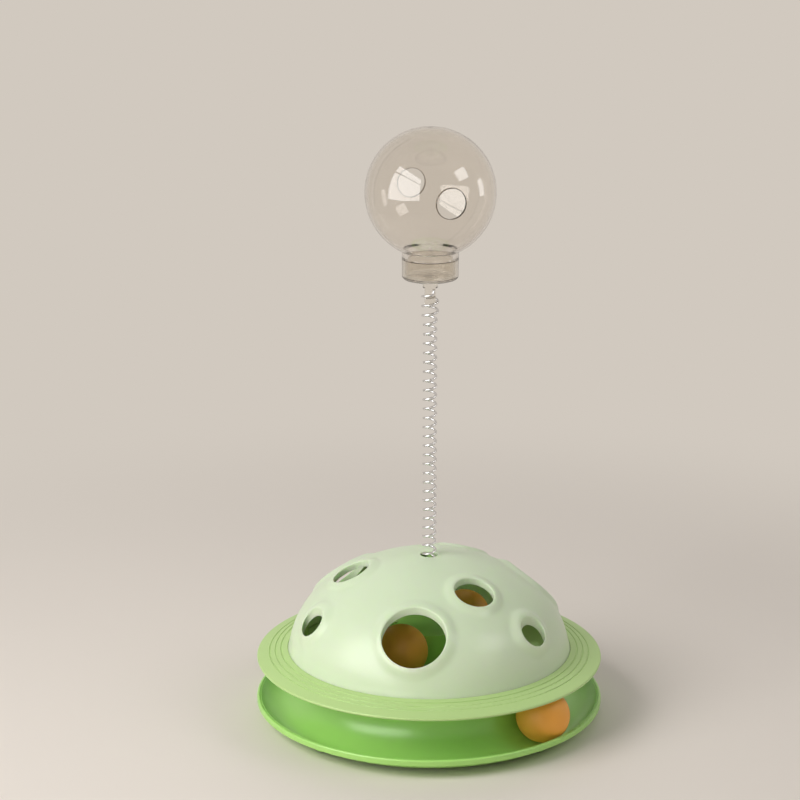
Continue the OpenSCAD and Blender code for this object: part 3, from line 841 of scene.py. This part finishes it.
class TOY_OT_tray(bpy.types.Operator):
    """Satin green finish of the tray, its rubber feet and its screws"""

    bl_idname = "toy.tray"
    bl_label = "Tray, feet and screws"

    def execute(self, context):
        tones = context.scene.toy_colours
        green, shader = finish("Satin green plastic", tuple(tones.tray), shade=0.93, gloss=0.3, spread=0.08)
        shader.inputs["Specular IOR Level"].default_value = SHEEN
        dress("base_tray", green)
        dress("spring_holder", green)
        rubber, _ = finish(
            "Dark rubber", tuple(tones.rubber),
            shade=0.7, drift_scale=90, grain=3000, depth=0.00004, gloss=0.8,
        )
        zinc = metal("Plated steel", tuple(tones.zinc), gloss=0.34)
        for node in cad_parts:
            if node.startswith("anti_slip_pad"):
                dress(node, rubber)
            if node.endswith("_screws"):
                dress(node, zinc)
        return {"FINISHED"}


class TOY_OT_brim(bpy.types.Operator):
    """Satin light green finish of the brim"""

    bl_idname = "toy.brim"
    bl_label = "Brim"

    def execute(self, context):
        light, _ = finish(
            "Satin light green plastic", tuple(context.scene.toy_colours.brim),
            shade=0.94, gloss=0.4, spread=0.08,
        )
        dress("brim_ring", light)
        return {"FINISHED"}


class TOY_OT_dome(bpy.types.Operator):
    """Dome shell with soft crater rims, its locking lugs and the bosses under its crown"""

    bl_idname = "toy.dome"
    bl_label = "Dome"

    def execute(self, context):
        sizes, lock = context.scene.toy_dome, context.scene.toy_lock
        pale, shader = finish(
            "Satin pale green plastic", tuple(context.scene.toy_colours.dome),
            shade=0.95, gloss=0.33, spread=0.08,
        )
        shader.inputs["Specular IOR Level"].default_value = SHEEN
        shader.inputs["Subsurface Weight"].default_value = 0.6
        shader.inputs["Subsurface Radius"].default_value = (1.0, 1.25, 0.8)
        shader.inputs["Subsurface Scale"].default_value = 1.8 * MM
        points, faces = dome_shell(sizes)
        pieces = [put_mesh("dome_shell", points, faces, pale)]
        section = round_box((lock.lug_in, lock.lug_low), (lock.lug_out, lock.lug_high), lock.corner)
        for k in range(lock.lugs):
            lug = swept_ring(section, lock.lug_start + k * TAU / lock.lugs, lock.lug_turn, lock.lug_steps)
            pieces.append(put_mesh(f"dome_lug_{k + 1}", *lug, pale, smooth=False))
        for k, x in enumerate((-lock.boss_side, lock.boss_side)):
            boss = stud(x, 0, lock.boss_radius, lock.boss_low, lock.boss_high, lock.corner)
            pieces.append(put_mesh(f"dome_boss_{k + 1}", *boss, pale, smooth=False))
        for piece in pieces:
            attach(piece, "dome")
            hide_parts("dome")
        crown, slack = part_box("dome")[1].z, 2 * MM
        if abs(points[:, 2].max() - crown) > slack:
            raise RuntimeError("the dome's shell doesn't reach its CAD crown")
        return {"FINISHED"}


class TOY_OT_spring(bpy.types.Operator):
    """Wire spring in two lengths, split at the height where they meet"""

    bl_idname = "toy.spring"
    bl_label = "Spring"

    def execute(self, context):
        sizes = context.scene.toy_spring
        bright = metal("Bright spring wire", tuple(context.scene.toy_colours.wire), gloss=0.2)
        path = wire_path(sizes)
        low, middle, high = BEND_LEVELS
        cut = int(np.searchsorted(path[1], middle))
        spans = (("spring_lower", slice(None, cut + 1), "dome", "mast", low, middle),
                 ("spring_upper", slice(cut, None), "mast", "cap", middle, high))
        for name, part, first, second, start, end in spans:
            points, faces = wire_mesh(*(values[part] for values in path), sizes)
            wire = put_mesh(name, points, faces, bright)
            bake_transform(wire)
            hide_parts("mast_spring")
        return {"FINISHED"}


class TOY_OT_globe(bpy.types.Operator):
    """Clear finish of the treat globe and of its cap"""

    bl_idname = "toy.globe"
    bl_label = "Globe and cap"

    def execute(self, context):
        sizes, tones = context.scene.toy_clear, context.scene.toy_colours
        # The dark colour is painted shade along the treat holes' edges and the cap's seam
        dark, line = tuple(tones.edge), (sizes.hole_level, sizes.hole_turn)
        dress("treat_globe", clear_plastic(
            "Clear globe plastic", tuple(tones.globe), dark, sizes.hole, sizes.reach, gloss=0.03, line=line,
        ))
        dress("globe_cap", clear_plastic(
            "Clear cap plastic", tuple(tones.cap), dark, sizes.seam, sizes.reach, gloss=0.12,
        ))
        return {"FINISHED"}


class TOY_OT_balls(bpy.types.Operator):
    """Matte orange finish of the balls"""

    bl_idname = "toy.balls"
    bl_label = "Balls"

    def execute(self, context):
        orange, _ = finish(
            "Matte orange plastic", tuple(context.scene.toy_colours.ball),
            shade=0.88, drift_scale=120, grain=1800, depth=0.00005, gloss=0.5,
        )
        for node in ("track_ball", "deck_ball_1", "deck_ball_2"):
            dress(node, orange)
        return {"FINISHED"}


STEPS = ("stage", "tray", "brim", "dome", "spring", "globe", "balls")


class TOY_PT_panel(bpy.types.Panel):
    """Lists the steps that dress the toy"""

    bl_idname = "TOY_PT_panel"
    bl_label = "Cat treat dispenser"
    bl_space_type = "VIEW_3D"
    bl_region_type = "UI"
    bl_category = "Toy"

    def draw(self, context):
        for step in STEPS:
            self.layout.operator("toy." + step)
        for place in GROUPS:
            group = getattr(context.scene, place)
            box = self.layout.box()
            for name in group.__annotations__:
                box.prop(group, name)


GROUPS = {
    "toy_dome": DomeSizes, "toy_lock": LockSizes, "toy_spring": SpringSizes, "toy_clear": ClearSizes,
    "toy_colours": FinishColours, "toy_stage": StageSizes,
}
CLASSES = (
    *GROUPS.values(), TOY_OT_stage, TOY_OT_tray, TOY_OT_brim, TOY_OT_dome, TOY_OT_spring, TOY_OT_globe,
    TOY_OT_balls, TOY_PT_panel,
)


def register():
    """Registers the classes and hangs the property groups on the scene."""
    for cls in CLASSES:
        bpy.utils.register_class(cls)
    for name, cls in GROUPS.items():
        setattr(bpy.types.Scene, name, PointerProperty(type=cls))


def unregister():
    """Takes the property groups and the classes away again."""
    for name in GROUPS:
        delattr(bpy.types.Scene, name)
    for cls in reversed(CLASSES):
        bpy.utils.unregister_class(cls)


def main():
    """Runs every step in order."""
    register()
    for step in STEPS:
        getattr(bpy.ops.toy, step)()


if __name__ == "__main__":
    main()
